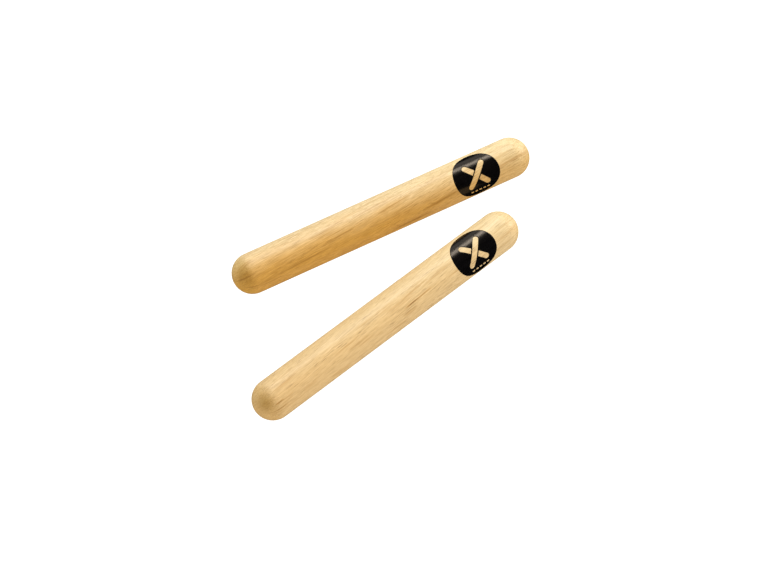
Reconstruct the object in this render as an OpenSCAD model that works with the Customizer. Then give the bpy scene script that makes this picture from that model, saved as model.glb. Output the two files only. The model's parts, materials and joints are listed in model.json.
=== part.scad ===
// Claves: two solid hardwood sticks that are struck together.
//
// Each stick is turned from one piece of wood and has hemispherical ends. Near one end
// it carries a round black film, wrapped on its side, with a plain sign of two crossed
// sticks over a row of dashes left open in it, so that the wood shows through.
//
// Frame: millimetres, +Z up, with the sticks lying on Z = 0. +X runs along the pair,
// halfway between the two sticks, towards the badged ends, which lie closer together.
// The origin is at floor level under the middle of the pair.

/* [Sticks] */
// Length of a stick over its round ends
stick_len = 203.2; // [180:0.1:220]
// Diameter of a stick
stick_d = 25.4; // [22:0.1:28]

/* [Layout at rest] */
// Angle between the two sticks, in degrees
splay = 12.7; // [6:0.1:14]
// Distance by which the held stick lies ahead of the striking one, along X
stagger = 36.8; // [0:0.1:60]
// Distance between the middles of the two sticks, across the pair
spacing = 59.6; // [56:0.1:90]

/* [Badges] */
// Diameter of the round film, measured over the curve of the stick
badge_d = 30.7; // [26:0.1:32]
// Thickness of the film
badge_t = 0.1; // [0.05:0.01:0.2]
// Held stick: distance from its end to the middle of its badge
held_badge_inset = 39.7; // [32:0.1:60]
// Held stick: turn of its badge from the top towards -Y, in degrees
held_badge_turn = 34.5; // [0:0.5:60]
// Striking stick: distance from its end to the middle of its badge
striking_badge_inset = 37.4; // [32:0.1:60]
// Striking stick: turn of its badge from the top towards -Y, in degrees
striking_badge_turn = 30; // [0:0.5:60]

/* [Sign in the badge] */
// Length of each of the two crossed bars
bar_len = 20.5; // [12:0.1:21]
// Width of each crossed bar
bar_w = 3.4; // [2:0.1:4]
// Angle of each crossed bar from the stick's length, in degrees
bar_slope = 48; // [25:1:50]
// Width of the film left between the bar that passes over and the one under it
bar_gap = 0.7; // [0.4:0.05:1]
// Number of dashes in the row below the bars
dash_count = 5; // [3:1:7]
// Length of each dash
dash_len = 1.9; // [1:0.1:2]
// Width of each dash
dash_w = 1.1; // [0.5:0.05:1.2]
// Pitch of the dashes along their row
dash_pitch = 2.8; // [2.3:0.1:3]
// Distance from the badge's middle down to the row of dashes
dash_drop = 10.6; // [10:0.1:11]

/* [Hidden] */

stick_r = stick_d / 2;
end_centre = stick_len / 2 - stick_r;
held_place = [stagger / 2, spacing / 2, stick_r];
striking_place = [-stagger / 2, -spacing / 2, stick_r];
held_heading = -splay / 2;
striking_heading = splay / 2;

// Points round the badge's rim, points in each round end of a bar, and the steps that
// split each straight side so that it follows the curve of the stick.
rim_points = 120;
end_points = 16;
side_steps = 12;
// Segments round a stick, and how far the film's blank runs past the badge.
round_fn = 180;
margin = 1;

held_wood = [0.83, 0.65, 0.38];
striking_wood = [0.89, 0.74, 0.51];
film_black = [0.04, 0.04, 0.045];

// The badge is drawn flat, with x along the stick and y round it, and this lays its
// points on the stick: y becomes the height of the same point of the arc, seen along
// the badge's middle normal.
function wrapped(points) = [
    for (p = points) [p.x, stick_r * sin(p.y / stick_r * 180 / PI)]
];

function circle_points(r) = [
    for (i = [0:rim_points - 1]) let (a = 360 * i / rim_points) r * [cos(a), sin(a)]
];

// A bar with round ends, given by its length over them, its width, its slope and its middle.
function bar_points(length, width, slope, middle) = let (
    half = (length - width) / 2,
    side = [for (i = [1:side_steps - 1]) half - 2 * half * i / side_steps],
    right = [for (i = [0:end_points])
        let (a = -90 + 180 * i / end_points) [half + width / 2 * cos(a), width / 2 * sin(a)]],
    top = [for (x = side) [x, width / 2]],
    flat_bar = concat(right, top, [for (p = right) -p], [for (p = top) -p])
) [
    for (p = flat_bar)
        middle + [p.x * cos(slope) - p.y * sin(slope), p.x * sin(slope) + p.y * cos(slope)]
];

// One stick along X, centred on the origin.
module stick() {
    rotate([0, 90, 0]) cylinder(r = stick_r, h = 2 * end_centre, center = true, $fn = round_fn);
    for (side = [-1, 1]) translate([side * end_centre, 0, 0]) rotate([0, 90, 0])
        sphere(r = stick_r, $fn = round_fn);
}

// The open parts of the film: one bar over the other, and the row of dashes.
module sign_openings() {
    polygon(wrapped(bar_points(bar_len, bar_w, bar_slope, [0, 0])));
    difference() {
        polygon(wrapped(bar_points(bar_len, bar_w, -bar_slope, [0, 0])));
        polygon(wrapped(bar_points(bar_len, bar_w + 2 * bar_gap, bar_slope, [0, 0])));
    }
    for (i = [0:dash_count - 1])
        polygon(wrapped(bar_points(dash_len, dash_w, 0,
            [(i - (dash_count - 1) / 2) * dash_pitch, -dash_drop])));
}

// The film on a stick along X: a thin tube on the stick, cut to the badge's outline.
module badge(inset, turn) {
    rotate([turn, 0, 0]) translate([stick_len / 2 - inset, 0, 0]) intersection() {
        rotate([0, 90, 0]) difference() {
            cylinder(r = stick_r + badge_t, h = badge_d + margin, center = true, $fn = round_fn);
            cylinder(r = stick_r, h = badge_d + 2 * margin, center = true, $fn = round_fn);
        }
        linear_extrude(height = stick_r + margin) difference() {
            polygon(wrapped(circle_points(badge_d / 2)));
            sign_openings();
        }
    }
}

module held_clave() {
    color(held_wood) translate(held_place) rotate([0, 0, held_heading]) stick();
}

module striking_clave() {
    color(striking_wood) translate(striking_place) rotate([0, 0, striking_heading]) stick();
}

module held_clave_badge() {
    color(film_black) translate(held_place) rotate([0, 0, held_heading])
        badge(held_badge_inset, held_badge_turn);
}

module striking_clave_badge() {
    color(film_black) translate(striking_place) rotate([0, 0, striking_heading])
        badge(striking_badge_inset, striking_badge_turn);
}

held_clave();
striking_clave();
held_clave_badge();
striking_clave_badge();
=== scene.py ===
"""Looks for a pair of claves: two turned hardwood sticks with a printed film on each.

Everything is in metres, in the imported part's frame: the sticks lie on Z = 0, and +X runs
along the pair towards the badged ends. Each stick and each film is a dense mesh of its
own that stands for its CAD node and stays inside it.

On a stick, x is millimetres from its middle towards the badged end, across is millimetres
from its axis, and turn is the angle round it from the top towards -Y.
"""
import json
import math

import bpy
import numpy as np
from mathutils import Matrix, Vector, geometry


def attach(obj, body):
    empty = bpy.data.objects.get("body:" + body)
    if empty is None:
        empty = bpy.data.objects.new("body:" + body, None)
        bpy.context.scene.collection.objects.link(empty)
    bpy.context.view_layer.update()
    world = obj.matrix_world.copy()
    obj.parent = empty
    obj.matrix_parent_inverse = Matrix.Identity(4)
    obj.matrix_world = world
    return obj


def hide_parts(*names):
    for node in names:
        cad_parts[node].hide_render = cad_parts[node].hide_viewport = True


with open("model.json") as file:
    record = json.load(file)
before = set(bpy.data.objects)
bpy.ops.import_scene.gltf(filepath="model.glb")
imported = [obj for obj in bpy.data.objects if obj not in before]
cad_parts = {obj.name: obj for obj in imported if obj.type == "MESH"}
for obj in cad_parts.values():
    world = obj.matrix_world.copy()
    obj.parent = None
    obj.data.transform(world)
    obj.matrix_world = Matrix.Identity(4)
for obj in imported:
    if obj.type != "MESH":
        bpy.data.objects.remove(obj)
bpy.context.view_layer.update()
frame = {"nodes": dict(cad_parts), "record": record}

MM = 0.001

# Camera: where it stands round the pair, how high it looks from, its lens and how far it sees.
VIEW_TURN = math.radians(34.1)
VIEW_RISE = math.radians(59.8)
VIEW_DISTANCE = 1.787
VIEW_AIM = Vector((-0.0044, -0.0025, 0))
SENSOR_MM = 36
LENS_MM = 138.4
CAMERA_REACH = 100

# Studio: half the table's side, how bright it glows, and the soft boxes. A box has its
# direction as right, away and up in the camera's view, distance, width, height and watts.
FLOOR_HALF = 30
FLOOR_GLOW = 1.12
SOFTBOXES = {
    "key_softbox": ((-0.02, 0.58, 0.8), 1.6, 0.9, 0.4, 11.8),
    "end_softbox": ((0.85, 0.5, 0.3), 1.8, 0.8, 0.8, 12),
    "back_softbox": ((0, 1.0, 0.55), 1.8, 1.4, 0.6, 3.2),
}

# Stick mesh: segments round it, rings on each round end and on the straight wall.
SEGMENTS = 448
END_RINGS = 40
WALL_RINGS = 148
FEWEST_SEGMENTS = 28
# Room left round an unrolled stick in its UV square, and in mm round a film in its own.
STICK_UV_MARGIN = 0.004
FILM_UV_MARGIN = 0.5

# Lengths in mm a radian of the fibres' swell, of their wander within a layer and of the
# crowding of pores along the stick, and how far the fibres wander in mm.
SWELL_WAVE = 25
WANDER_WAVE = 37
CROWD_WAVE = 17
WANDER = 0.5

# Pores along the wall: how many, shape in mm, strength and a power that makes more of them
# faint, how deep a full one is cut, how far past the wall their middles go, and the share
# kept where few grow.
PORE_COUNT = 620
PORE_HALF_WIDTH = (0.10, 0.15)
PORE_HALF_LENGTH = (1.5, 6.5)
PORE_STRENGTH = (0.35, 1)
PORE_FAINTNESS = 1.5
PORE_DEPTH = 0.06
PORE_OVERRUN = 6
SPARSE_PORES = 0.22
# Pores met end on in the round ends: how many, shape in mm, strength, and the least sine of
# the angle between pore and surface that is used to work out the length of a cut.
END_PORE_COUNT = 260
END_PORE_HALF_WIDTH = (0.12, 0.2)
END_PORE_HALF_LENGTH = (0.3, 2.5)
END_PORE_STRENGTH = (0.3, 0.9)
END_PORE_LEAST_SINE = 0.05
# Round each tip, a disc of this radius has none, as they would all run together there.
PORE_FREE_TIP = 0.8

# Brown streaks: about how many on a stick, shape in mm, strength, how far past the wall their
# middles go, and the share kept where few grow.
STREAK_COUNT = 110
STREAK_HALF_WIDTH = (0.25, 0.45)
STREAK_HALF_LENGTH = (3.0, 14.0)
STREAK_STRENGTH = (0.3, 0.85)
STREAK_OVERRUN = 8
SPARSE_STREAKS = 0.25
# A streak often has a second one beside it: how often, how many degrees further round, how
# far along at most as a share of its half length, and how long and strong against the first.
TWIN_CHANCE = 0.6
TWIN_DEGREES = (5, 8)
TWIN_SHIFT = 0.6
TWIN_SHARE = 0.8
# From none to all of a streak, by across as a share of the radius.
LANDMARK_FADE = (0.2, 0.6)
SEEDED_FADE = (0.567, 0.9)
# From none to all of the painted shade spots and of the end grain, by how far past the wall a
# point is, as a share of the radius.
PAINTED_SHADE_START = (0.1, 0.35)
END_GRAIN_START = (0, 0.6)
# Sanding leaves the wall up to this far from a true cylinder, always inwards.
SANDING_DEPTH = 0.035

# The sign left open in the film, in millimetres and degrees, as in the CAD part.
BAR_LEN = 20.5
BAR_W = 3.4
BAR_SLOPE = math.radians(48)
BAR_GAP = 0.7
DASH_COUNT = 5
DASH_LEN = 1.9
DASH_W = 1.1
DASH_PITCH = 2.8
DASH_DROP = 10.6
# Film mesh in mm: rounding of its edge, and how far it sinks in.
FILM_EDGE = 0.07
FILM_SINK = 0.06
# The share of its thickness that the film has at its very edge, and steps round its rim.
FILM_EDGE_SHARE = 0.35
RIM_STEPS = 180
# Inner points of the film: spacing in mm, and as shares of it the distance from one row to
# the next and the room left at the film's edges.
FILM_PITCH = 0.5
FILM_ROW = 0.866
FILM_ROOM = 0.4
# Points of the flat film that lie closer than this in mm are one point.
FILM_MERGE = 1e-5

# Sizes of the features in each noise in mm: along the stick, across the growth layers and
# within a layer.
GROWTH_SIZE = (150, 3.2, 40)
LINE_SIZE = (50, 0.55, 7)
ARC_SIZE = (400, 0.9, 60)
HAIR_SIZE = (18, 0.5, 0.5)
FLECK_SIZE = (5, 0.35, 0.35)
VESSEL_SIZE = (7, 0.3, 0.3)
MOTTLE_SIZE = (30, 6, 6)
CLOUD_SIZE = (8, 2.6, 2.6)
FILM_GRAIN_SIZE = (14, 0.45, 0.45)
FILM_CLOUD_SIZE = (6, 4, 4)
# How far the mottle shifts the sapwood's edge, in mm.
MOTTLE_SHIFT = 7.0
# From where to where along a stick, in mm, the wood grows paler, the plain end's extra brown
# fades out, the streaks grow fainter, and the badged end's toning takes over.
PALER_X = (-10, 110)
DARKER_X = (-95, 0)
FAINTER_X = (30, 80)
BADGED_X = (-10, 10)
# What the fine grain multiplies the colour by where it is darkest and where it is lightest.
HAIR_TONES = ((0.84, 0.80, 0.70), (1.14, 1.16, 1.22))
FLECK_TONES = ((0.92, 0.90, 0.85), (1.07, 1.08, 1.11))
CLOUD_TONES = ((0.97, 0.965, 0.95), (1.03, 1.03, 1.03))
# Height in mm that a step of 1 in each bump map stands for, before its strength.
WOOD_RELIEF = 0.06
FILM_RELIEF = 0.05


# ---------------------------------------------------------------- sticks in the frame

class Stick:
    """Where one stick lies: its middle in metres, its own axes, and its radius and half wall in mm."""

    def __init__(self, name, look):
        mounts = {m["name"]: m for m in frame["record"]["mounts"]}
        bodies = frame["record"]["behaviour"]["bodies"]
        grip = mounts[name + "_grip"]
        self.name = name
        self.look = look
        self.middle = np.array(grip["pos_m"])
        self.along = -np.array(grip["axis"])
        self.up = np.array([0.0, 0.0, 1.0])
        self.side = np.cross(self.up, self.along)
        self.radius = grip["dims"]["r_mm"]
        self.wall = grip["dims"]["length_mm"] / 2
        self.body = next(body for body, nodes in bodies.items() if name in nodes)

    def place(self, x, across, turn):
        """Points in metres, from x, across and turn."""
        x, across, turn = np.broadcast_arrays(x, across, turn)
        local = np.stack([x, -across * np.sin(turn), across * np.cos(turn)], -1) * MM
        return self.middle + local @ np.stack([self.along, self.side, self.up])

    def badge(self):
        """The CAD film's middle along the stick, its radius, its turn and its thickness."""
        mesh = frame["nodes"][self.name + "_badge"].data
        co = np.zeros(len(mesh.vertices) * 3)
        mesh.vertices.foreach_get("co", co)
        local = (co.reshape(-1, 3) - self.middle) @ np.stack([self.along, self.side, self.up]).T / MM
        x = local[:, 0]
        turn = np.arctan2(-local[:, 1], local[:, 2])
        across = np.hypot(local[:, 1], local[:, 2])
        middle = (x.max() + x.min()) / 2
        return middle, (x.max() - x.min()) / 2, (turn.max() + turn.min()) / 2, across.max() - self.radius

    def sanding(self, x, across, turn):
        """How far sanding has taken the surface inwards at a point, in mm, evenly so at the tips."""
        p = self.look["phase"]
        # The three waves together stay between -2 and 2.
        wave = (np.sin(x / 23 + p) * np.cos(turn + p)
                + 0.6 * np.sin(x / 9.5 + 2 * turn + 3 * p)
                + 0.4 * np.sin(x / 41 - 3 * turn + 5 * p))
        return SANDING_DEPTH * (0.5 + 0.25 * wave * across / self.radius)

    def board(self, x, across, turn):
        """Place in the board in mm: along the stick, across the growth layers, and within a layer."""
        lean = self.look["facing"] - turn
        return np.stack(np.broadcast_arrays(x, across * np.sin(lean), across * np.cos(lean)), -1)

    def drift(self, x):
        """How far the fibres have climbed across the layers by x, in mm."""
        look = self.look
        return look["tilt"] * x + look["swell"] * np.sin((x - look["swell_at"]) / SWELL_WAVE)

    def fibre(self, x, across, turn):
        """Place in the board following the fibres, which climb across the layers and swell a little."""
        climb = self.drift(x)
        bend = np.stack([0 * climb, climb, WANDER * np.sin(x / WANDER_WAVE)], -1)
        return self.board(x, across, turn) - bend

    def crowd(self, x, turn):
        """From 0 to 1, how closely pores and streaks crowd together in the growth layer at a point."""
        layer = self.fibre(x, self.radius, turn)[1]
        return 0.5 + 0.5 * math.sin(layer / self.look["crowding"] * 2 * math.pi + math.sin(x / CROWD_WAVE))


# ---------------------------------------------------------------- stick meshes

def ramp(value, low, high):
    """0 up to low, 1 from high on, and a straight line between them."""
    return np.clip((value - low) / (high - low), 0, 1)


def ring_turns(count):
    """The turns of a ring's vertices."""
    return np.arange(count) / count * 2 * math.pi - math.pi


def ring_profile(stick):
    """Rings from the plain end's tip to the badged end's: x, across, and length of surface so far."""
    angle = np.linspace(0, math.pi / 2, END_RINGS + 1)
    end_x = stick.wall + stick.radius * np.cos(angle)
    end_across = stick.radius * np.sin(angle)
    wall_x = np.linspace(-stick.wall, stick.wall, WALL_RINGS + 1)[1:-1]
    x = np.concatenate([-end_x, wall_x, end_x[::-1]])
    across = np.concatenate([end_across, np.full(len(wall_x), stick.radius), end_across[::-1]])
    arc = np.concatenate([[0], np.cumsum(np.hypot(np.diff(x), np.diff(across)))])
    return x, across, arc


def segments_at(across, radius):
    """Segments on a ring: halved again and again as the ring shrinks towards a tip."""
    count = SEGMENTS
    while count > FEWEST_SEGMENTS and across < radius * count / SEGMENTS / 2:
        count //= 2
    return count


def fan(ring, tip, at_start):
    """Triangles between a tip and the ring beside it. A corner is a vertex and its share of a turn."""
    n = len(ring)
    faces = []
    for j in range(n):
        sides = [(ring[j], j / n), (ring[(j + 1) % n], (j + 1) / n)]
        faces.append([(tip, (j + 0.5) / n)] + (sides[::-1] if at_start else sides))
    return faces


def stitch(lower, upper):
    """Faces between two rings, one of which may have twice as many vertices. Corners as in fan()."""
    n, m = len(lower), len(upper)
    faces = []
    for j in range(min(n, m)):
        twice, once = range(2 * j, 2 * j + 3), range(j, j + 2)
        low = [(lower[k % n], k / n) for k in (twice if n > m else once)]
        up = [(upper[k % m], k / m) for k in (twice if m > n else once)]
        if n == m:
            faces += [[low[0], low[1], up[1], up[0]]]
        elif n > m:
            faces += [[low[0], low[1], up[0]], [low[1], up[1], up[0]], [low[1], low[2], up[1]]]
        else:
            faces += [[low[0], up[1], up[0]], [low[0], low[1], up[1]], [low[1], up[2], up[1]]]
    return faces


def join_rings(counts, arc):
    """Faces over all the rings, and each corner's place on the unrolled stick, from 0 to 1."""
    starts = np.concatenate([[0], np.cumsum(counts)])
    faces, unrolled = [], []
    for k in range(len(counts) - 1):
        lower = range(starts[k], starts[k + 1])
        upper = range(starts[k + 1], starts[k + 2])
        if len(lower) == 1:
            between = fan(upper, lower[0], True)
        elif len(upper) == 1:
            between = fan(lower, upper[0], False)
        else:
            between = stitch(lower, upper)
        for corners in between:
            faces.append([vertex for vertex, turn in corners])
            unrolled += [(arc[k if vertex in lower else k + 1] / arc[-1], turn) for vertex, turn in corners]
    return faces, np.array(unrolled)


def wall_pores(stick, rng, arc):
    """Vessels cut open along the wall: arc, turn, half width, half length, strength and slope."""
    found = []
    while len(found) < PORE_COUNT:
        at = rng.uniform(arc[END_RINGS] - PORE_OVERRUN, arc[-1 - END_RINGS] + PORE_OVERRUN)
        turn = rng.uniform(-math.pi, math.pi)
        half_width = rng.uniform(*PORE_HALF_WIDTH)
        half_length = rng.uniform(*PORE_HALF_LENGTH)
        strength = rng.uniform(*PORE_STRENGTH) ** PORE_FAINTNESS
        chance = rng.uniform()
        if chance > SPARSE_PORES + (1 - SPARSE_PORES) * stick.crowd(at - arc[-1] / 2, turn) ** 2:
            continue
        slope = stick.look["tilt"] * math.cos(stick.look["facing"] - turn)
        found.append((at, turn, half_width, half_length, strength, slope))
    return found


def end_pores(stick, rng, arc):
    """Vessels met end on in the round ends, spread evenly over the stick's cross-section."""
    found = []
    for _ in range(END_PORE_COUNT):
        distance = stick.radius * math.sqrt(rng.uniform())
        turn = rng.uniform(-math.pi, math.pi)
        half_width = rng.uniform(*END_PORE_HALF_WIDTH)
        strength = rng.uniform(*END_PORE_STRENGTH)
        # The more nearly the surface lies along the vessel, the longer the cut through it.
        angle = math.asin(distance / stick.radius)
        shortest, longest = END_PORE_HALF_LENGTH
        cut = half_width / max(math.cos(angle), END_PORE_LEAST_SINE)
        half_length = max(min(cut, longest), shortest)
        from_tip = stick.radius * angle
        at = from_tip if rng.uniform() < 0.5 else arc[-1] - from_tip
        found.append((at, turn, half_width, half_length, strength, 0))
    return found


def pore_masks(stick, across, arc, counts):
    """Mask from 0 to 1 on every ring: the vessels cut open along the wall and end on in the tips."""
    rng = np.random.default_rng(stick.look["seed"])
    pores = wall_pores(stick, rng, arc)
    pores += end_pores(stick, rng, arc)
    masks = [np.zeros(n) for n in counts]
    turns = [ring_turns(n) for n in counts]
    for at, turn, half_width, half_length, strength, slope in pores:
        first, last = np.searchsorted(arc, [at - half_length, at + half_length])
        for k in range(max(first, 1), min(last, len(arc) - 1)):
            if across[k] < PORE_FREE_TIP:
                continue
            share = (arc[k] - at) / half_length
            path = turn - slope * (arc[k] - at) / across[k]
            off = (turns[k] - path + math.pi) % (2 * math.pi) - math.pi
            line = np.exp(-(off * across[k] / half_width) ** 2) * (1 - share ** 2) ** 0.5 * strength
            masks[k] = np.maximum(masks[k], line)
    return masks


def choose_streaks(stick):
    """The streaks that stand out, then seeded ones: x, turn, half length, half width and strength."""
    rng = np.random.default_rng(stick.look["seed"] + 1)
    chosen = [(x, math.radians(turn), *rest) for x, turn, *rest in stick.look["landmarks"]]
    while len(chosen) < STREAK_COUNT:
        x = rng.uniform(-stick.wall - STREAK_OVERRUN, stick.wall + STREAK_OVERRUN)
        turn = rng.uniform(-math.pi, math.pi)
        half_length = rng.uniform(*STREAK_HALF_LENGTH)
        half_width = rng.uniform(*STREAK_HALF_WIDTH)
        strength = rng.uniform(*STREAK_STRENGTH)
        if rng.uniform() > SPARSE_STREAKS + (1 - SPARSE_STREAKS) * stick.crowd(x, turn):
            continue
        chosen.append((x, turn, half_length, half_width, strength))
        beside = turn + math.radians(rng.uniform(*TWIN_DEGREES))
        shift = rng.uniform(-TWIN_SHIFT, TWIN_SHIFT) * half_length
        if rng.uniform() < TWIN_CHANCE:
            chosen.append((x + shift, beside, TWIN_SHARE * half_length, half_width, TWIN_SHARE * strength))
    return chosen


def streaks(stick, x, across, turn):
    """Mask of the brown streaks, which follow the fibres and fade towards the tips."""
    mask = np.zeros_like(x)
    landmark_fade = ramp(across / stick.radius, *LANDMARK_FADE)
    # The seeded ones fade sooner, as they would run together on the round ends.
    seeded_fade = ramp(across / stick.radius, *SEEDED_FADE)
    for number, (at, middle, half_length, half_width, strength) in enumerate(choose_streaks(stick)):
        bend = (stick.drift(x) - stick.drift(at)) * math.cos(stick.look["facing"] - middle) / stick.radius
        off = (turn - middle + bend + math.pi) % (2 * math.pi) - math.pi
        ends = np.clip(1 - ((x - at) / half_length) ** 2, 0, 1) ** 0.5
        fade = landmark_fade if number < len(stick.look["landmarks"]) else seeded_fade
        line = np.exp(-(off * across / half_width) ** 2) * ends * strength * fade
        mask = np.maximum(mask, line)
    return mask


def painted_shade_spots(stick, x, across, turn):
    """Mask of the olive patches of painted shade on the round ends, each given by its place, its radius in mm
    and its strength.
    """
    mask = np.zeros_like(x)
    for spot_x, spot_turn, radius, strength in stick.look["painted_shade_spots"]:
        spot_across = math.sqrt(max(stick.radius ** 2 - max(abs(spot_x) - stick.wall, 0) ** 2, 0))
        gap = stick.place(x, across, turn) - stick.place(spot_x, spot_across, math.radians(spot_turn))
        mask = np.maximum(mask, np.exp(-(gap ** 2).sum(-1) / (radius * MM) ** 2) * strength)
    return mask


def new_object(name, points, faces):
    """A smooth-shaded mesh object in the scene."""
    mesh = bpy.data.meshes.new(name)
    mesh.from_pydata([tuple(p) for p in points], [], faces)
    mesh.polygons.foreach_set("use_smooth", np.ones(len(mesh.polygons), bool))
    piece = bpy.data.objects.new(name, mesh)
    bpy.context.scene.collection.objects.link(piece)
    return piece


def add_uv(piece, corners):
    """The UV layer that the looks are baked to, from a place for each corner."""
    layer = piece.data.uv_layers.new(name="OFBake")
    layer.data.foreach_set("uv", corners.astype(np.float32).ravel())


def add_attribute(piece, name, values):
    """A number or a vector on each vertex, for the piece's material to read."""
    kind = "FLOAT" if values.ndim == 1 else "FLOAT_VECTOR"
    attribute = piece.data.attributes.new(name, kind, "POINT")
    field = "value" if values.ndim == 1 else "vector"
    attribute.data.foreach_set(field, values.astype(np.float32).ravel())


def make_stick(stick):
    """The whole stick: one closed mesh with its pores cut in, wood coordinates and unrolled UVs."""
    x, across, arc = ring_profile(stick)
    counts = [segments_at(a, stick.radius) for a in across]
    counts[0] = counts[-1] = 1
    pore = np.concatenate(pore_masks(stick, across, arc, counts))
    turn = np.concatenate([ring_turns(n) for n in counts])
    x = np.repeat(x, counts)
    across = np.repeat(across, counts)
    past_wall = np.clip(np.abs(x) - stick.wall, 0, None) / stick.radius
    # A cut goes straight in from the surface: sideways on the wall, towards the middle in the tips.
    cut = pore * PORE_DEPTH + stick.sanding(x, across, turn)
    points = stick.place(x - np.sign(x) * cut * past_wall, across - cut * across / stick.radius, turn)
    faces, unrolled = join_rings(counts, arc)
    piece = new_object(stick.name + "_wood", points, faces)
    add_uv(piece, unrolled * (1 - 2 * STICK_UV_MARGIN) + STICK_UV_MARGIN)

    # The painted shade spots show only on the round ends.
    spot_share = ramp(past_wall, *PAINTED_SHADE_START)
    end = ramp(past_wall, *END_GRAIN_START)
    add_attribute(piece, "fibre", stick.fibre(x, across, turn))
    add_attribute(piece, "board", stick.board(x, across, turn))
    add_attribute(piece, "pore", pore)
    add_attribute(piece, "streak", streaks(stick, x, across, turn))
    add_attribute(piece, "painted_shade_spot", painted_shade_spots(stick, x, across, turn) * spot_share)
    add_attribute(piece, "end_grain", end * end * (3 - 2 * end))
    piece.data.materials.append(wood_material(stick))
    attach(piece, stick.body)
    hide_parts(stick.name)


# ---------------------------------------------------------------- film meshes

def bar_distance(p, length, width, slope, middle=(0, 0)):
    """Signed distance in mm from a round-ended bar, negative inside it."""
    p = p - np.array(middle)
    along = p @ np.array([math.cos(slope), math.sin(slope)])
    off = p @ np.array([-math.sin(slope), math.cos(slope)])
    past = np.clip(np.abs(along) - (length - width) / 2, 0, None)
    return np.hypot(past, off) - width / 2


def dash_middles():
    """Middles of the dashes, in mm from the film's middle."""
    return [((i - (DASH_COUNT - 1) / 2) * DASH_PITCH, -DASH_DROP) for i in range(DASH_COUNT)]


def film_distance(p, radius):
    """Signed distance in mm from the film's edge, negative in the film."""
    over = bar_distance(p, BAR_LEN, BAR_W, BAR_SLOPE)
    under = np.maximum(bar_distance(p, BAR_LEN, BAR_W, -BAR_SLOPE), BAR_GAP - over)
    openings = [over, under] + [bar_distance(p, DASH_LEN, DASH_W, 0, m) for m in dash_middles()]
    return np.maximum(np.hypot(p[:, 0], p[:, 1]) - radius, -np.min(openings, axis=0))


def bar_outline(length, width, slope, middle=(0, 0), ends=18, sides=24):
    """Outline of a round-ended bar, with so many steps round each end and along each side."""
    half = (length - width) / 2
    a = np.linspace(-math.pi / 2, math.pi / 2, ends + 1)
    right = np.stack([half + width / 2 * np.cos(a), width / 2 * np.sin(a)], -1)
    steps = np.linspace(half, -half, sides + 1)[1:-1]
    top = np.stack([steps, np.full(len(steps), width / 2)], -1)
    flat = np.concatenate([right, top, -right, -top])
    turned = np.array([[math.cos(slope), math.sin(slope)], [-math.sin(slope), math.cos(slope)]])
    return flat @ turned + np.array(middle)


def film_outlines(radius, inset):
    """Every edge of the film moved into it by inset, as closed outlines that may cross."""
    a = np.linspace(0, 2 * math.pi, RIM_STEPS + 1)[:-1]
    rim = (radius - inset) * np.stack([np.cos(a), np.sin(a)], -1)
    grow = 2 * inset
    outlines = [rim, bar_outline(BAR_LEN + grow, BAR_W + grow, BAR_SLOPE)]
    outlines.append(bar_outline(BAR_LEN + grow, BAR_W + grow, -BAR_SLOPE))
    gap = 2 * (BAR_GAP - inset)
    outlines.append(bar_outline(BAR_LEN + gap, BAR_W + gap, BAR_SLOPE))
    for middle in dash_middles():
        outlines.append(bar_outline(DASH_LEN + grow, DASH_W + grow, 0, middle, 8, 3))
    return outlines


def film_triangles(radius):
    """Points and triangles that fill the film, laid flat in mm."""
    points, edges = [], []
    for inset in (0, FILM_EDGE):
        for outline in film_outlines(radius, inset):
            first = len(points)
            points += [tuple(p) for p in outline]
            edges += [(first + i, first + (i + 1) % len(outline)) for i in range(len(outline))]
    steps = int(radius / FILM_PITCH) + 1
    rows = np.arange(-steps, steps + 1)
    places = [((i + 0.5 * (j % 2)) * FILM_PITCH, j * FILM_PITCH * FILM_ROW) for j in rows for i in rows]
    grid = np.array(places)
    inside = film_distance(grid, radius) < -FILM_EDGE - FILM_ROOM * FILM_PITCH
    points += [tuple(p) for p in grid[inside]]
    made = geometry.delaunay_2d_cdt([Vector(p) for p in points], edges, [], 0, FILM_MERGE)
    flat = np.array([tuple(v) for v in made[0]])
    triangles = np.array([f for f in made[2] if len(f) == 3])
    middles = flat[triangles].mean(1)
    triangles = triangles[film_distance(middles, radius) < 0]
    used, numbers = np.unique(triangles, return_inverse=True)
    return flat[used], numbers.reshape(-1, 3)


def closed_skin(triangles, count):
    """The triangles as a top, the same upside down count vertices on, and walls round the edges."""
    faces = [tuple(t) for t in triangles] + [tuple(t[::-1] + count) for t in triangles]
    edges = {edge: True for t in triangles for edge in ((t[0], t[1]), (t[1], t[2]), (t[2], t[0]))}
    faces += [(b, a, a + count, b + count) for a, b in edges if (b, a) not in edges]
    return faces


def make_film(stick):
    """The printed film: a closed skin of its real thickness with a rounded edge, wrapped on the wood."""
    middle, radius, turn, thickness = stick.badge()
    flat, triangles = film_triangles(radius)
    count = len(flat)
    in_film = -film_distance(flat, radius) / FILM_EDGE
    rise = thickness * np.clip(FILM_EDGE_SHARE + (1 - FILM_EDGE_SHARE) * in_film, 0, 1)
    x = middle + flat[:, 0]
    turns = turn - flat[:, 1] / stick.radius
    ground = stick.radius - stick.sanding(x, stick.radius, turns)
    top = stick.place(x, ground + rise, turns)
    bottom = stick.place(x, ground - FILM_SINK, turns)
    piece = new_object(stick.name + "_film", np.concatenate([top, bottom]), closed_skin(triangles, count))
    add_attribute(piece, "fibre", np.concatenate([stick.fibre(x, ground, turns)] * 2))
    # The top fills the lower half of the UV square, and the underside the upper half.
    corners = np.zeros(len(piece.data.loops), int)
    piece.data.loops.foreach_get("vertex_index", corners)
    sheet = (flat[corners % count] / (2 * (radius + FILM_UV_MARGIN)) + 0.5) * np.array([1, 0.5])
    sheet[:, 1] += 0.5 * (corners >= count)
    add_uv(piece, sheet)
    piece.data.materials.append(film_material())
    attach(piece, stick.body)
    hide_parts(stick.name + "_badge")


# ---------------------------------------------------------------- materials

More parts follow.
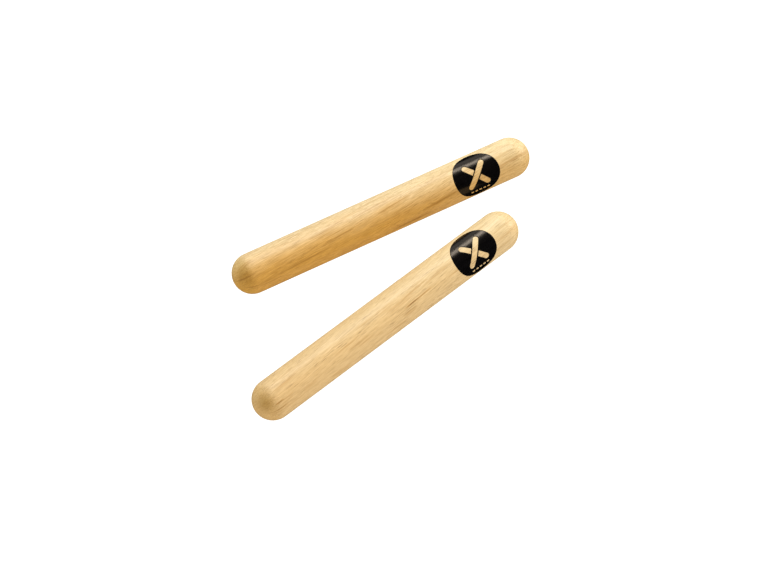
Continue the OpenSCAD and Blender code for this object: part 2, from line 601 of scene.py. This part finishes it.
class Nodes:
    """Short calls that add shader nodes to one material."""

    def __init__(self, name):
        self.material = bpy.data.materials.new(name)
        self.material.use_nodes = True
        self.tree = self.material.node_tree
        self.shader = self.tree.nodes["Principled BSDF"]

    def add(self, kind, values, **settings):
        node = self.tree.nodes.new("ShaderNode" + kind)
        for key, value in settings.items():
            setattr(node, key, value)
        for key, value in values.items():
            self.put(node.inputs[key], value)
        return node

    def put(self, socket, value):
        if isinstance(value, bpy.types.NodeSocket):
            self.tree.links.new(value, socket)
        else:
            socket.default_value = value

    def shade(self, values):
        """Sets the shader's own sockets and gives the material."""
        for key, value in values.items():
            self.put(self.shader.inputs[key], value)
        return self.material

    def attribute(self, name, output="Vector"):
        return self.add("Attribute", {}, attribute_name=name).outputs[output]

    def split(self, vector):
        return self.add("SeparateXYZ", {0: vector}).outputs

    def math(self, operation, a, b=0.0, c=0.0):
        return self.add("Math", {0: a, 1: b, 2: c}, operation=operation).outputs[0]

    def noise(self, vector, sizes, detail=2.0, roughness=0.5):
        """Noise with features of those sizes, in the vector's own units."""
        scaled = self.add("VectorMath", {0: vector, 1: [1 / s for s in sizes]}, operation="MULTIPLY")
        node = self.add("TexNoise", {"Vector": scaled.outputs[0], "Scale": 1.0, "Detail": detail,
                                     "Roughness": roughness, "Distortion": 0.0})
        return node.outputs[0]

    def span(self, value, low, high, to_low=0.0, to_high=1.0, smooth=True):
        kind = "SMOOTHSTEP" if smooth else "LINEAR"
        return self.add("MapRange", {"Value": value, "From Min": low, "From Max": high,
                                     "To Min": to_low, "To Max": to_high}, interpolation_type=kind).outputs[0]

    def mix(self, share, a, b, blend="MIX"):
        node = self.add("Mix", {0: share}, data_type="RGBA", blend_type=blend)
        for socket, value in ((node.inputs[6], a), (node.inputs[7], b)):
            self.put(socket, value if isinstance(value, bpy.types.NodeSocket) else (*value, 1.0))
        return node.outputs[2]

    def bump(self, height, strength, relief):
        node = self.add("Bump", {"Height": height, "Strength": strength, "Distance": relief * MM})
        return node.outputs[0]


def layered(n, look, fibre):
    """Place in the growth layers, which are arcs about a pith some way below the stick."""
    x, layer, depth = n.split(fibre)
    pith = look["pith"]
    squares = n.math("ADD", n.math("POWER", n.math("ADD", layer, pith), 2), n.math("POWER", depth, 2))
    ring = n.math("SUBTRACT", n.math("SQRT", squares), pith)
    return n.add("CombineXYZ", {0: x, 1: ring, 2: depth}).outputs[0]


def sapwood(n, look, fibre):
    """From 0 in the heartwood to 1 in the sapwood, with an uneven edge between them."""
    height = n.split(n.attribute("board"))[1]
    uneven = n.math("MULTIPLY_ADD", n.noise(fibre, MOTTLE_SIZE), MOTTLE_SHIFT, height)
    edge = n.math("MULTIPLY_ADD", n.split(fibre)[0], look["sap_lean"], uneven)
    middle = look["sap_edge"] + MOTTLE_SHIFT / 2
    return n.span(edge, middle - look["sap_blur"], middle + look["sap_blur"])


def plain_colour(n, look, x, sap, growth, wood):
    """Heartwood and sapwood with their growth layers, paler towards the badged end."""
    lines = n.noise(wood, LINE_SIZE, 3, 0.6)
    colour = n.mix(sap, look["heart"], look["sap"])
    paleness = n.math("MULTIPLY", n.span(x, *PALER_X), n.math("MULTIPLY_ADD", sap, 0.4, 0.35))
    colour = n.mix(paleness, colour, look["pale"])
    colour = n.mix(n.span(growth, 0.48, 0.75, 0, look["growth_depth"]), colour, look["brown"])
    colour = n.mix(n.span(lines, 0.56, 0.74, 0, look["line_depth"]), colour, look["brown"])
    return n.mix(n.span(x, *DARKER_X, look["darker_end"], 0.0), colour, look["brown"])


def with_streaks(n, look, colour, x, sap, hair):
    """Streaks broken up by the fibres, and fainter in the sapwood and towards the badged end."""
    streak = n.attribute("streak", "Fac")
    broken = n.span(hair, 0.35, 0.6, 0.5, 1.0)
    broken = n.math("MULTIPLY", broken, n.math("MULTIPLY_ADD", sap, -0.4, 1.0))
    broken = n.math("MULTIPLY", broken, n.span(x, *FAINTER_X, 1.0, 0.65))
    colour = n.mix(n.math("MULTIPLY", n.math("MINIMUM", streak, 1.0), broken), colour, look["brown"])
    return n.mix(n.span(streak, 1.0, 2.0), colour, look["pore"])


def with_grain(n, look, colour, fibre, hair):
    """Fine grain: long hairs, short flecks and soft clouds."""
    fleck = n.noise(fibre, FLECK_SIZE, 1)
    cloud = n.noise(fibre, CLOUD_SIZE, 1)
    for grain, share, tones in ((hair, look["grain"], HAIR_TONES), (fleck, look["grain"], FLECK_TONES),
                                (cloud, look["cloud"], CLOUD_TONES)):
        colour = n.mix(share, colour, n.mix(n.span(grain, 0.3, 0.7), *tones), "MULTIPLY")
    return colour


def with_ends(n, look, colour, x, wood):
    """Growth rings as arcs on the round ends, which are toned, the plain one most, partly in the end grain's
    own tone and partly as painted shade; and the olive spots of painted shade.
    """
    end = n.attribute("end_grain", "Fac")
    arcs = n.noise(wood, ARC_SIZE, 2, 0.6)
    colour = n.mix(n.math("MULTIPLY", n.span(arcs, 0.45, 0.68, 0, 0.24), end), colour, look["brown"])
    # The round ends' toning is partly the end grain's own tone and partly painted shade, most on the plain
    # end.
    toned = n.math("MULTIPLY", end, n.span(x, *BADGED_X, 1.0, look["badged_end"]))
    colour = n.mix(toned, colour, look["end_grain_and_shade_tone"], "MULTIPLY")
    # Olive spots of painted shade darken the round ends further.
    return n.mix(n.attribute("painted_shade_spot", "Fac"), colour, look["painted_shade_tone"], "MULTIPLY")


def with_pores(n, look, colour, growth, vessels, pore):
    """Fine vessels that crowd in some growth layers, and the pores that are cut in."""
    crowd = n.span(growth, 0.4, 0.6, 0.25, 0.7)
    colour = n.mix(n.math("MULTIPLY", n.span(vessels, 0.6, 0.74), crowd), colour, look["pore"])
    return n.mix(n.math("MULTIPLY", pore, 0.45), colour, look["pore"])


def wood_material(stick):
    """Clear-lacquered pale hardwood: sapwood and heartwood, growth layers, fibres, pores and end grain."""
    look = stick.look
    n = Nodes(stick.name + "_wood")
    fibre = n.attribute("fibre")
    pore = n.attribute("pore", "Fac")
    x = n.split(fibre)[0]
    wood = layered(n, look, fibre)
    sap = sapwood(n, look, fibre)
    growth = n.noise(wood, GROWTH_SIZE)
    hair = n.noise(fibre, HAIR_SIZE, 3, 0.75)
    vessels = n.noise(fibre, VESSEL_SIZE, 1)
    colour = plain_colour(n, look, x, sap, growth, wood)
    colour = with_streaks(n, look, colour, x, sap, hair)
    colour = with_grain(n, look, colour, fibre, hair)
    colour = with_ends(n, look, colour, x, wood)
    colour = with_pores(n, look, colour, growth, vessels, pore)
    rough = n.math("ADD", n.span(hair, 0.3, 0.7, 0.37, 0.45, False), n.math("MULTIPLY", pore, 0.2))
    relief = n.bump(n.math("MULTIPLY_ADD", vessels, 0.5, hair), 0.3, WOOD_RELIEF)
    return n.shade({"Base Color": colour, "Roughness": rough, "Normal": relief,
                    "Specular IOR Level": 0.24, "Coat Weight": 0.05, "Coat Roughness": 0.2})


def film_material():
    """Black gloss print, through which the grain of the wood below just shows."""
    known = bpy.data.materials.get("black_film")
    if known:
        return known
    n = Nodes("black_film")
    fibre = n.attribute("fibre")
    grain = n.noise(fibre, FILM_GRAIN_SIZE, 3, 0.6)
    cloud = n.noise(fibre, FILM_CLOUD_SIZE)
    colour = n.mix(n.span(grain, 0.35, 0.7), (0.0015, 0.0013, 0.0015), (0.0035, 0.003, 0.0032))
    rough = n.span(cloud, 0.3, 0.7, 0.2, 0.27, False)
    return n.shade({"Base Color": colour, "Roughness": rough, "Normal": n.bump(grain, 0.25, FILM_RELIEF),
                    "Specular IOR Level": 0.4, "Specular Tint": (1, 0.84, 0.66, 1)})


def floor_material():
    """A grey table that glows until it looks white, so that shadows on it stay faint."""
    n = Nodes("floor_white")
    haze = n.noise(n.add("TexCoord", {}).outputs["Object"], (1, 1, 1))
    colour = n.mix(haze, (0.14, 0.14, 0.14), (0.16, 0.16, 0.16))
    return n.shade({"Base Color": colour, "Roughness": 0.9, "Specular IOR Level": 0.1,
                    "Emission Color": (1, 1, 1, 1), "Emission Strength": FLOOR_GLOW})


# ---------------------------------------------------------------- studio

def from_view(right, away, up):
    """A direction given by the camera's right, away from it over the floor, and up."""
    c, s = math.cos(VIEW_TURN), math.sin(VIEW_TURN)
    return Vector((right * c + away * s, -right * s + away * c, up))


def make_camera():
    """The camera, which looks down at the pair from the front left."""
    camera = bpy.data.objects.new("camera", bpy.data.cameras.new("camera"))
    camera.data.sensor_width = SENSOR_MM
    camera.data.lens = LENS_MM
    camera.data.clip_end = CAMERA_REACH
    back = from_view(0, -math.cos(VIEW_RISE), math.sin(VIEW_RISE))
    camera.location = VIEW_AIM + VIEW_DISTANCE * back
    camera.rotation_euler = back.to_track_quat("Z", "Y").to_euler()
    bpy.context.scene.collection.objects.link(camera)
    bpy.context.scene.camera = camera


def make_softbox(name, direction, distance, width, height, power):
    """A soft box that faces the frame's origin."""
    lamp = bpy.data.lights.new(name, "AREA")
    lamp.shape = "RECTANGLE"
    lamp.size = width
    lamp.size_y = height
    lamp.energy = power
    box = bpy.data.objects.new(name, lamp)
    box.location = direction.normalized() * distance
    box.rotation_euler = direction.to_track_quat("Z", "Y").to_euler()
    bpy.context.scene.collection.objects.link(box)


def make_world():
    """White light from all round, which the gloss doesn't mirror, as in a studio with dark gaps."""
    world = bpy.data.worlds.new("studio")
    world.use_nodes = True
    background = world.node_tree.nodes["Background"]
    background.inputs["Color"].default_value = (1, 1, 1, 1)
    background.inputs["Strength"].default_value = 1.0
    world.cycles_visibility.glossy = False
    bpy.context.scene.world = world


def make_studio():
    """The table, the light from all round and the soft boxes."""
    signs = ((-1, -1), (1, -1), (1, 1), (-1, 1))
    corners = [(x * FLOOR_HALF, y * FLOOR_HALF, 0) for x, y in signs]
    floor = new_object("floor", corners, [(0, 1, 2, 3)])
    floor.data.materials.append(floor_material())
    # The gloss doesn't mirror the table.
    floor.visible_glossy = False
    make_world()
    for name, (direction, *rest) in SOFTBOXES.items():
        make_softbox(name, from_view(*direction), *rest)
    bpy.context.scene.view_settings.view_transform = "Standard"


# ---------------------------------------------------------------- the pair

# What a look sets, with lengths in mm:
# seed, phase: where the random draws and the sanding waves start
# tilt, swell, swell_at: how steeply the fibres climb across the layers, how far they swell and
#   the x that the swell starts from
# facing: the turn at which the growth layers stand square to the surface
# pith: how far it lies from the stick's middle
# crowding: from one layer crowded with pores and streaks to the next
# sap, heart, pale, brown, pore: colours of the wood and of its pores
# sap_edge, sap_blur, sap_lean: where in the board the sapwood starts, half the width of the
#   change, and how fast the sapwood gains along the stick
# growth_depth, line_depth, grain, cloud: how strongly each of these shows
# darker_end: how much of the brown the plain end takes
# end_grain_and_shade_tone, badged_end: tone of the round ends, partly the end grain's own and partly painted
# shade that keeps the plain end darker, and the share of it that the badged end shows
# painted_shade_tone: tone of the olive patches of painted shade
# landmarks: the few streaks that stand out, as x, turn in degrees, half length, half width and
#   strength, which over 1 takes on the pores' colour
# painted_shade_spots: the olive patches of painted shade, as x, turn in degrees, radius and strength
# Landmarks and painted shade spots are each set one by one.

# Rear stick: cream sapwood that turns golden brown downwards, with grain that climbs to the right.
HELD_LOOK = {
    "slot": "held_wood", "seed": 11, "phase": 0.7,
    "tilt": 0.11, "swell": 0.75, "swell_at": 25, "facing": math.radians(27), "pith": 95, "crowding": 5.2,
    "sap": (0.65, 0.505, 0.285), "heart": (0.59, 0.31, 0.058), "pale": (0.71, 0.57, 0.32),
    "brown": (0.35, 0.16, 0.021), "pore": (0.22, 0.09, 0.012),
    "sap_edge": 3.5, "sap_blur": 10.5, "sap_lean": 0.02,
    "growth_depth": 0.08, "line_depth": 0.24, "grain": 0.92, "cloud": 0.8, "darker_end": 0.0,
    "end_grain_and_shade_tone": (0.93, 0.93, 0.78), "badged_end": 0.1, "painted_shade_tone": (0.72, 0.66, 0.45),
    "landmarks": [
        (-97, 35, 8, 0.35, 1.0),
        (-58, 57, 19, 0.5, 1.0),
        (-34, 33, 11, 0.35, 1.0),
        (-34, 21, 10, 0.3, 0.8),
        (6, 15, 12, 0.4, 1.0),
        (15, 87, 13, 1.2, 1.0),
        (35, 60, 13, 0.9, 1.0),
        (87, 35.5, 13, 0.8, 1.0),
    ],
    # An olive spot of painted shade on the plain round end.
    "painted_shade_spots": [(-96, 24, 6.5, 0.9)],
}

# Front stick: paler and more even, with straighter grain and a few dark streaks.
STRIKING_LOOK = {
    "slot": "striking_wood", "seed": 29, "phase": 2.3,
    "tilt": 0.05, "swell": 0.3, "swell_at": 40, "facing": math.radians(24), "pith": 140, "crowding": 3.4,
    "sap": (0.64, 0.465, 0.235), "heart": (0.685, 0.46, 0.205), "pale": (0.71, 0.565, 0.32),
    "brown": (0.44, 0.225, 0.055), "pore": (0.17, 0.075, 0.018),
    "sap_edge": 2.0, "sap_blur": 6.0, "sap_lean": 0.02,
    "growth_depth": 0.03, "line_depth": 0.16, "grain": 0.62, "cloud": 0.1, "darker_end": 0.13,
    "end_grain_and_shade_tone": (0.93, 0.88, 0.74), "badged_end": 0.3, "painted_shade_tone": (0.70, 0.65, 0.46),
    "landmarks": [
        (-90, 41, 3, 0.3, 1.8),
        (-90, 58, 4, 0.3, 1.6),
        (-81, 6, 10, 0.3, 1.0),
        (-37, 27, 9, 0.35, 0.8),
        (-19, 6, 6, 0.3, 1.0),
        (18, 38.5, 11, 0.3, 1.4),
        (13, 39.5, 5, 0.32, 2.2),
        (19, 13, 11, 0.3, 1.0),
        (90, 42, 8, 0.3, 1.0),
        (89, 18, 8, 0.3, 0.8),
    ],
    # An olive spot of painted shade on the plain round end.
    "painted_shade_spots": [(-97, 20, 5.5, 1.0)],
}

make_camera()
make_studio()
for name, look in (("held_clave", HELD_LOOK), ("striking_clave", STRIKING_LOOK)):
    stick = Stick(name, look)
    make_stick(stick)
    make_film(stick)
